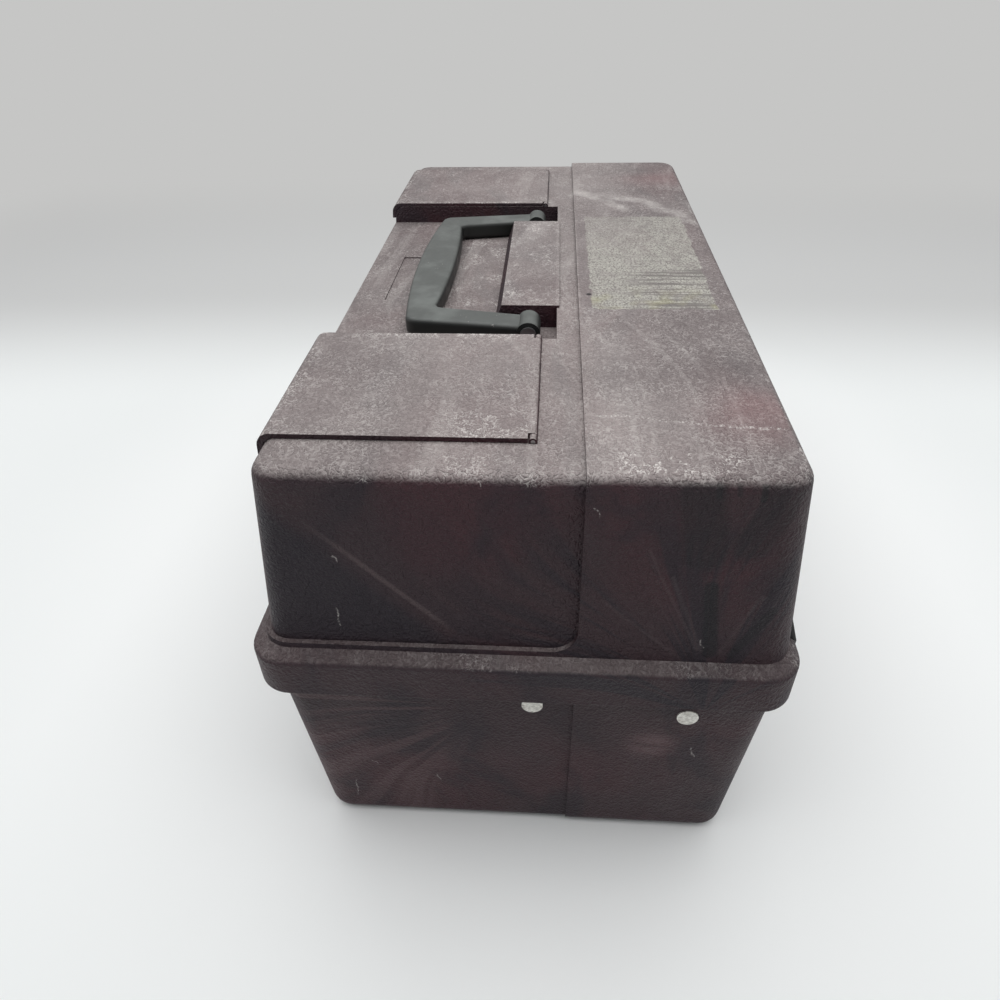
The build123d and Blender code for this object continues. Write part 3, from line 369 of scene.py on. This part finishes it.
def end_flow(n, colour, drift):
    """Rays on the ends of the lid, and their diagonal."""
    ends = end_faces(n)
    above = n.both(ends, n.ramp(n.z, SHOULDER - 0.01, SHOULDER + 0.01))
    sway = n.both(n.noise(n.coords, 9.0, 1.0), 0.5)
    lines, away = fan(n, END_GATE, 6.0, sway)
    reach = n.both(ends, n.ramp(away, 0.06, 0.14, 1.0, 0.25))
    colour = n.mix(n.both(reach, n.ramp(lines, 0.47, 0.58), 0.7), colour, BLUE_BLACK)
    fine, _ = fan(n, END_GATE, 26.0, sway)
    colour = n.mix(n.both(reach, n.ramp(fine, 0.58, 0.72), 0.3), colour, FLOW_PALE)
    bent = n.shifted(n.y, drift, 0.006)
    for strokes, tone in ((RAYS, RAY_DARK), (PALE_RAYS, RAY_PALE)):
        for start, end, half, strength in strokes:
            half *= MM
            line = n.stroke(bent, n.z, metres(start), metres(end), half, 0.6 * half + RAY_SOFT)
            streaks = n.ramp(fine, 0.2, 0.5, 0.6, 1.0)
            colour = n.mix(n.both(above, line, streaks, strength), colour, tone)
    return diagonal(n, colour, above, drift)


def base_flow(n, colour):
    """Paler and redder rays towards -Y on the ends of the base, and a painted reddish spot of bounce
    light.
    """
    ends = end_faces(n)
    sway = n.both(n.noise(n.coords, 9.0, 1.0), 0.4)
    tail, away = fan(n, BASE_GATE, 8.0, sway)
    left = n.both(ends, n.ramp(n.y, -0.05, -0.015, 1.0, 0.0), n.ramp(away, 0.015, 0.03))
    colour = n.mix(n.both(left, n.ramp(tail, 0.5, 0.62), 0.5), colour, BASE_PALE)
    colour = n.mix(n.both(left, n.ramp(tail, 0.46, 0.38), 0.35), colour, BLUE_BLACK)
    # painted light: reddish bounce light on the ends of the base
    bounce_spot = n.spot(n.y, n.z, BOUNCE_SPOT, BOUNCE_SPOT_RADIUS, BOUNCE_SPOT_SOFT)
    return n.mix(n.both(ends, bounce_spot, n.ramp(tail, 0.4, 0.6), 0.6), colour, BOUNCE_SPOT_RED)


def flow_colour(n):
    """Burgundy and charcoal plastic that flowed into the mould in long swirls, and its noises."""
    slow = n.noise(n.warped(5.0, 0.08), 12.0, 2.0, 0.5)
    swirl = n.stretched(n.warped(7.0, 0.16), (7.0, 30.0, 22.0), 3.0, 0.55)
    colour = n.mix(n.ramp(slow, 0.4, 0.62), BROWN, BURGUNDY)
    return n.mix(n.both(n.ramp(swirl, 0.48, 0.66), 0.8), colour, CHARCOAL), slow, swirl


def wrinkles(n, scale):
    """Noise that is 0 along winding lines."""
    return n.math("ABSOLUTE", n.math("SUBTRACT", n.noise(n.coords, scale, 1.0, 0.5, 0.5), 0.5))


def leather(n):
    """Leather grain: its creases, as 1 along them, and the height of the pebbles between them."""
    large, small = wrinkles(n, GRAIN), wrinkles(n, SMALL_GRAIN)
    creases = n.either(n.ramp(large, 0.0, 0.06, 1.0, 0.0), n.ramp(small, 0.0, 0.08, 0.6, 0.0))
    height = n.math("ADD", n.ramp(large, 0.0, 0.2), n.ramp(small, 0.0, 0.2, 0.0, 0.4))
    return creases, height


def residue(n, colour, fine):
    """Mottled grey-green adhesive left by a label, streaked towards +X and +Y."""
    ragged_x, ragged_y, _ = n.split(n.warped(160.0, 0.004))
    area = n.both(n.rectangle(ragged_x, ragged_y, PATCH, 0.001), n.ramp(n.face_z, 0.8, 0.95))
    lines = n.stretched(n.coords, (420.0, 16.0, 1.0), 2.0, 0.7)
    streaked = n.both(n.ramp(n.x, -0.015, 0.03), n.ramp(n.y, 0.045, 0.065, 0.35, 0.9))
    streaks = n.both(n.either(streaked, 0.22), n.ramp(lines, 0.5, 0.58))
    dark = n.either(n.both(n.ramp(fine, 0.42, 0.62), 0.85), streaks)
    overlay = n.mix(dark, GLUE_PALE, GLUE_DARK)
    yellow = n.both(n.ramp(n.x, 0.04, 0.07), n.ramp(n.noise(n.coords, 70.0, 1.0), 0.48, 0.66))
    overlay = n.mix(n.both(yellow, 0.4), overlay, GLUE_YELLOW)
    cover = n.both(area, n.ramp(n.noise(n.coords, 120.0, 1.0), 0.3, 0.6, 0.6, 0.92))
    worn_through = n.both(n.ramp(n.x, -0.06, 0.02, 0.55, 0.0), n.ramp(n.y, 0.05, 0.075, 1.0, 0.4))
    return n.mix(n.both(cover, n.math("SUBTRACT", 1.0, worn_through)), colour, overlay)


def dotted_scuff(n, colour, flat, fine, swirl):
    """Thin dotted scuff across the rear half of the lid."""
    x0, y0, x1, y1 = SCUFF_LINE
    slope = (x1 - x0) / (y1 - y0)
    off = n.math("SUBTRACT", n.math("SUBTRACT", n.x, x0), n.both(n.math("SUBTRACT", n.y, y0), slope))
    line = n.band(n.shifted(off, swirl, 0.012), -0.0003, 0.0003, 0.001)
    dots = n.ramp(fine, 0.5, 0.6)
    return n.mix(n.both(line, n.band(n.y, y0, y1, 0.004), flat, dots, 0.7), colour, SCUFF)


def top_marks(n, colour, fine, slow, swirl, veins, rubbed):
    """Marks on the top of the lid: red spots, scuffs, wisps, a cleaner strip, residue and a nick."""
    flat = n.ramp(n.face_z, 0.8, 0.95)
    for centre in RED_SPOTS:
        red = n.both(n.spot(n.x, n.y, centre, 0.0, RED_SPOT_SOFT), flat, n.ramp(slow, 0.3, 0.6), 0.4)
        colour = n.mix(red, colour, SPOT_RED)
    colour = dotted_scuff(n, colour, flat, fine, swirl)
    speckle = n.both(n.ramp(veins, 0.2, 0.6), n.ramp(fine, 0.44, 0.52))
    broken = n.both(speckle, n.ramp(n.noise(n.coords, 130.0, 2.0, 0.7), 0.44, 0.54))
    edge = n.both(n.band(n.x, EDGE_X[0], EDGE_X[1], 0.006), n.ramp(n.z, TOP - 0.007, TOP - 0.003))
    for low, high, strength in EDGE_SCUFFS:
        colour = n.mix(n.both(n.band(n.y, low, high, 0.008), edge, broken, strength), colour, SCUFF)
    colour = n.mix(n.both(n.rectangle(n.x, n.y, STRIP, 0.0015), flat, 0.4), colour, STRIP_GREY)
    drifting = n.shifted(n.y, swirl, 0.02)
    wisps = n.either(*(
        n.stroke(n.x, drifting, metres(start), metres(end), WISP_HALF, WISP_SOFT)
        for start, end in WISPS
    ))
    colour = n.mix(n.both(wisps, flat, n.ramp(rubbed, 0.35, 0.65, 0.08, 0.42)), colour, SCUFF)
    colour = residue(n, colour, fine)
    nick = n.both(n.spot(n.x, n.y, NICK, NICK_RADIUS, NICK_SOFT), flat)
    return n.mix(nick, colour, NICK_DARK)


def end_scratches(n, colour, fine):
    """Short, bent, broken scratches on the ends of the lid and the base."""
    ends = n.ramp(n.math("ABSOLUTE", n.x), *END_X)
    _, bent_y, bent_z = n.split(n.warped(260.0, 0.003))
    marks = n.either(*(
        n.stroke(bent_y, bent_z, metres(start), metres(end), SCRATCH_HALF, SCRATCH_SOFT)
        for start, end in SCRATCHES
    ))
    return n.mix(n.both(marks, ends, n.ramp(fine, 0.42, 0.58, 0.04, 0.42)), colour, SCUFF)


def dust_and_sheen_amount(n, kind):
    """Share of dust and painted sheen over the plastic, most along the middle of the lid's +X end, and
    the level faces; its rise towards +X is painted sheen.
    """
    outside = n.ramp(n.z, SHOULDER - 0.008, TOP - 0.025, 0.3, 1.0)
    level = n.both(n.ramp(n.face_z, 0.4, 0.97), outside)
    cloud = n.ramp(n.noise(n.warped(7.0, 0.05), 20.0, 3.0, 0.6), 0.25, 0.75, 0.28, 0.45)
    across = n.both(n.ramp(n.y, -0.11, 0.01, 0.9, 1.28), n.ramp(n.y, 0.03, 0.085, 1.0, 0.56))
    # rising towards +X: painted sheen over the dust
    overlay = n.both(level, cloud, n.ramp(n.x, -0.22, 0.2, 0.88, 1.1), across)
    overlay = n.both(overlay, n.ramp(n.z, TOP - 0.012, TOP - 0.006, 0.92, 1.0))
    if kind == "lid":
        overlay = n.both(overlay, n.ramp(n.rectangle(n.x, n.y, BLOCK, 0.001), 0.0, 1.0, 1.0, 0.84))
    return overlay, level


def wear(n, kind, level, swirl):
    """Where the pale scuffs lie: rounded edges, the recess, and the edges of the doors."""
    edge = n.both(n.ramp(n.face_z, 0.25, 0.6), n.ramp(n.face_z, 0.93, 0.995, 1.0, 0.0))
    worn = n.both(edge, n.ramp(n.z, SHOULDER, TOP - 0.02, 0.3, 0.5), n.ramp(swirl, 0.45, 0.62))
    if kind == "lid":
        worn = n.either(worn, n.both(level, n.rectangle(n.x, n.y, RECESS_SCUFFS, 0.01), 0.6))
    if kind == "door":
        front = n.ramp(n.y, DOOR_SIDE, DOOR_SIDE + 0.012, 1.0, 0.0)
        near = n.ramp(n.math("ABSOLUTE", n.x), DOOR_NEAR, DOOR_NEAR + 0.007, 1.0, 0.0)
        corner = n.both(level, n.ramp(n.x, *DOOR_WORN_X), n.ramp(n.y, *DOOR_WORN_Y), 0.6)
        worn = n.either(worn, n.both(n.either(front, near), level, 0.9), corner)
    return worn


def marbled(name, kind):
    """Swirled, leather-grained plastic of the lid, base or doors, with dust and painted sheen on top and
    worn edges.
    """
    n = Nodes(name)
    colour, slow, swirl = flow_colour(n)
    if kind == "lid":
        colour = end_flow(n, colour, slow)
    if kind == "base":
        colour = base_flow(n, colour)
    fine = n.noise(n.coords, FINE, 2.0, 0.7)
    veins, height = leather(n)
    overlay, level = dust_and_sheen_amount(n, kind)
    # dust, paler towards +X as painted sheen
    colour = n.mix(overlay, colour, DUST_AND_SHEEN)
    trails = n.ramp(n.stretched(n.warped(3.0, 0.3), (9.0, 90.0, 20.0), 2.0, 0.6), 0.54, 0.66)
    colour = n.mix(n.both(level, trails, 0.12), colour, SCUFF)
    rubbed = n.noise(n.coords, RUBBED, 3.0, 0.7)
    colour = n.mix(n.both(level, veins, n.ramp(rubbed, 0.35, 0.65, 0.14, 0.38)), colour, SCUFF)
    patches = n.ramp(rubbed, 0.42, 0.52) if kind == "door" else n.ramp(rubbed, 0.5, 0.62)
    speckle = n.both(n.ramp(veins, 0.2, 0.6), n.ramp(fine, 0.44, 0.52))
    colour = n.mix(n.both(wear(n, kind, level, swirl), patches, speckle), colour, SCUFF)
    if kind == "lid":
        colour = top_marks(n, colour, fine, slow, swirl, veins, rubbed)
    if kind != "door":
        colour = end_scratches(n, colour, fine)
    rough = n.math("ADD", n.ramp(swirl, 0.3, 0.7, 0.46, 0.58), n.both(overlay, 0.3))
    return n.finish(colour, rough, n.bump(height, LEATHER_HEIGHT, 0.9), specular=0.3)


def moulded(name, colour, worn, wear_share, rough=0.5, grain=0.3):
    """Plain moulded plastic: fine skin, paler blotches where it is dusty, and a few pale flecks."""
    n = Nodes(name)
    mottle = n.noise(n.coords, 90.0, 3.0, 0.6)
    tint = n.mix(mottle, tuple(0.8 * c for c in colour), tuple(1.15 * c for c in colour))
    blot = n.ramp(n.noise(n.coords, 38.0, 3.0, 0.6), 0.45, 0.72, 0.55, 1.0)
    tint = n.mix(n.both(n.ramp(n.face_z, 0.45, 0.95), blot, wear_share), tint, worn)
    flecks = n.ramp(n.noise(n.coords, 700.0, 3.0, 0.7), 0.66, 0.72)
    flecks = n.both(flecks, n.ramp(n.noise(n.coords, 45.0, 2.0), 0.5, 0.62))
    tint = n.mix(n.both(flecks, n.ramp(n.face_z, 0.3, 0.7), 0.8), tint, SCUFF)
    height = n.math("ADD", n.noise(n.coords, SKIN, 2.0), n.both(n.noise(n.coords, GRAIN, 2.0), 0.5))
    rough = n.ramp(mottle, 0.3, 0.7, rough - 0.06, rough + 0.1)
    return n.finish(tint, rough, n.bump(height, SKIN_HEIGHT, grain))


def metal(name, colour, rough, along=(40.0, 900.0, 900.0), stains=0.2):
    """Rolled or turned metal with fine lines and dull spots."""
    n = Nodes(name)
    lines = n.stretched(n.coords, along, 3.0, 0.6)
    spots = n.ramp(n.noise(n.coords, 240.0, 4.0, 0.7), 0.5, 0.68)
    tint = n.mix(lines, tuple(0.82 * c for c in colour), colour)
    tint = n.mix(n.both(spots, stains), tint, METAL_STAIN)
    rough = n.math("ADD", n.ramp(lines, 0.2, 0.8, rough - 0.08, rough + 0.1), n.both(spots, 0.15))
    return n.finish(tint, rough, n.bump(lines, LINES_HEIGHT, 0.4), metallic=1.0)


def rivet_metal(name):
    """Pale, oxidised rivet with scratches over its head."""
    n = Nodes(name)
    scratches = n.stretched(n.warped(200.0, 0.002), (300.0, 500.0, 3200.0), 2.0)
    cloud = n.noise(n.coords, 500.0, 4.0, 0.7)
    tint = n.mix(n.ramp(cloud, 0.35, 0.65), OXIDE_DARK, OXIDE_PALE)
    tint = n.mix(n.both(n.ramp(scratches, 0.56, 0.66), 0.7), tint, OXIDE_SCRATCH)
    rough = n.ramp(cloud, 0.3, 0.7, 0.45, 0.65)
    return n.finish(tint, rough, n.bump(cloud, SKIN_HEIGHT, 0.5), metallic=0.35)


def put(name, material):
    """Gives a CAD node its material."""
    data = frame["nodes"][name].data
    data.materials.clear()
    data.materials.append(material)


def dress():
    """Gives every node its material, by its slot in the record."""
    slots = {}
    for kind in ("base", "lid", "door"):
        slots["marbled_" + kind] = marbled("marbled_" + kind, kind)
    for name, colour, worn, *rest in (
        ("handle_plastic", srgb(20, 22, 21), srgb(150, 155, 151), 0.4),
        ("latch_plastic", srgb(30, 29, 31), srgb(128, 122, 122), 0.3),
        ("hinge_plastic", srgb(30, 29, 31), srgb(128, 122, 122), 0.3),
        ("tray_plastic", srgb(158, 152, 146), srgb(186, 180, 172), 0.35, 0.42, 0.2),
        ("divider_plastic", srgb(172, 167, 160), srgb(196, 190, 182), 0.3, 0.42, 0.2),
    ):
        slots[name] = moulded(name, colour, worn, *rest)
    slots["rivet_aluminium"] = rivet_metal("rivet_aluminium")
    for name, colour, *rest in (
        ("rivet_steel", srgb(176, 176, 178), 0.4),
        ("pin_steel", srgb(186, 186, 188), 0.3, (900.0, 60.0, 60.0), 0.1),
        ("arm_steel", srgb(196, 194, 188), 0.36, (900.0, 80.0, 80.0), 0.25),
    ):
        slots[name] = metal(name, colour, *rest)
    for part in frame["record"]["subparts"]:
        put(part["node"], slots[part["material_slot"]])


def seen_directly(tree):
    """1 for rays that show the background: straight from the camera, or by way of gloss or glass."""
    path = tree.nodes.new("ShaderNodeLightPath")
    result = path.outputs["Is Camera Ray"]
    for kind in ("Is Glossy Ray", "Is Transmission Ray"):
        node = tree.nodes.new("ShaderNodeMath")
        node.operation = "MAXIMUM"
        tree.links.new(result, node.inputs[0])
        tree.links.new(path.outputs[kind], node.inputs[1])
        result = node.outputs[0]
    return result


def blend_shaders(tree, factor, near, far, output):
    """Output that goes from one shader to another."""
    mixer = tree.nodes.new("ShaderNodeMixShader")
    tree.links.new(factor, mixer.inputs[0])
    tree.links.new(near, mixer.inputs[1])
    tree.links.new(far, mixer.inputs[2])
    tree.links.new(mixer.outputs[0], tree.nodes[output].inputs["Surface"])


def studio_floor():
    """Wide pale floor, painted darker with distance as painted shade and paler near the object as painted
    light, that meets a plain backdrop of the same tone.
    """
    turns = [2 * math.pi * i / FLOOR_STEPS for i in range(FLOOR_STEPS)]
    ring = [(FLOOR_RADIUS * math.cos(t), FLOOR_RADIUS * math.sin(t), 0.0) for t in turns]
    mesh = bpy.data.meshes.new("floor")
    mesh.from_pydata(ring, [], [range(FLOOR_STEPS)])
    floor = bpy.data.objects.new("floor", mesh)
    bpy.context.scene.collection.objects.link(floor)
    n = Nodes("floor_paint")
    away = n.join(n.math("SUBTRACT", n.x, FLOOR_CENTRE), n.both(n.y, FLOOR_SQUASH), 0.0)
    away = n.vector("LENGTH", away, output=1)
    around = n.vector("LENGTH", n.join(n.x, n.y, 0.0), output=1)
    # painted shade: the floor is painted darker away from FLOOR_CENTRE
    tone = n.mix(n.ramp(away, *FLOOR_SHADE_REACH), FLOOR_PALE, FLOOR_PAINTED_SHADE)
    # painted light: the floor is painted paler near the object
    tone = n.mix(n.ramp(around, *PAINTED_FLOOR_LIGHT_REACH, 1.0, 0.0), tone, PAINTED_FLOOR_LIGHT)
    mesh.materials.append(n.finish(tone, 0.9, specular=0.2))
    glow = n.tree.nodes.new("ShaderNodeEmission")
    glow.inputs["Color"].default_value = (*BACKDROP, 1.0)
    far = n.either(n.ramp(away, *FLOOR_FADES), n.ramp(around, *FLOOR_FADES_AROUND))
    far = n.both(seen_directly(n.tree), far)
    blend_shaders(n.tree, far, n.shader.outputs[0], glow.outputs[0], "Material Output")


def soft_light(name, place, target, size, power):
    """Oblong area light that faces a target."""
    data = bpy.data.lights.new(name, "AREA")
    data.shape = "RECTANGLE"
    data.size, data.size_y = size
    data.energy = power
    lamp = bpy.data.objects.new(name, data)
    bpy.context.scene.collection.objects.link(lamp)
    lamp.location = place
    lamp.rotation_mode = "QUATERNION"
    lamp.rotation_quaternion = (Vector(target) - Vector(place)).to_track_quat("-Z", "Y")


def camera():
    """Camera at the photograph's place."""
    data = bpy.data.cameras.new("camera")
    data.lens = CAMERA_LENS
    data.sensor_width = SENSOR
    data.clip_start = CAMERA_NEAREST
    body = bpy.data.objects.new("camera", data)
    bpy.context.scene.collection.objects.link(body)
    back = -CAMERA_FORWARD.normalized()
    right = CAMERA_UP.cross(back).normalized()
    turn = Matrix((right, back.cross(right), back)).transposed().to_4x4()
    body.matrix_world = Matrix.Translation(CAMERA_PLACE) @ turn
    bpy.context.scene.camera = body


def world():
    """Even pale light, and the backdrop's tone where it is seen."""
    made = bpy.data.worlds.new("surroundings")
    bpy.context.scene.world = made
    made.use_nodes = True
    tree = made.node_tree
    light = tree.nodes["Background"]
    light.inputs["Color"].default_value = SKY
    light.inputs["Strength"].default_value = SKY_STRENGTH
    shown = tree.nodes.new("ShaderNodeBackground")
    shown.inputs["Color"].default_value = (*BACKDROP, 1.0)
    blend_shaders(tree, seen_directly(tree), light.outputs[0], shown.outputs[0], "World Output")


dress()
studio_floor()
soft_light("overhead", (-0.1, 0.0, 1.6), (-0.05, 0.0, 0.0), (2.2, 2.2), 29.0)
for side in (-1, 1):
    soft_light("side", (0.1, 1.3 * side, 0.8), (0.0, 0.0, 0.0), (1.4, 0.8), 2.5)
world()
camera()
bpy.context.scene.view_settings.view_transform = "Standard"
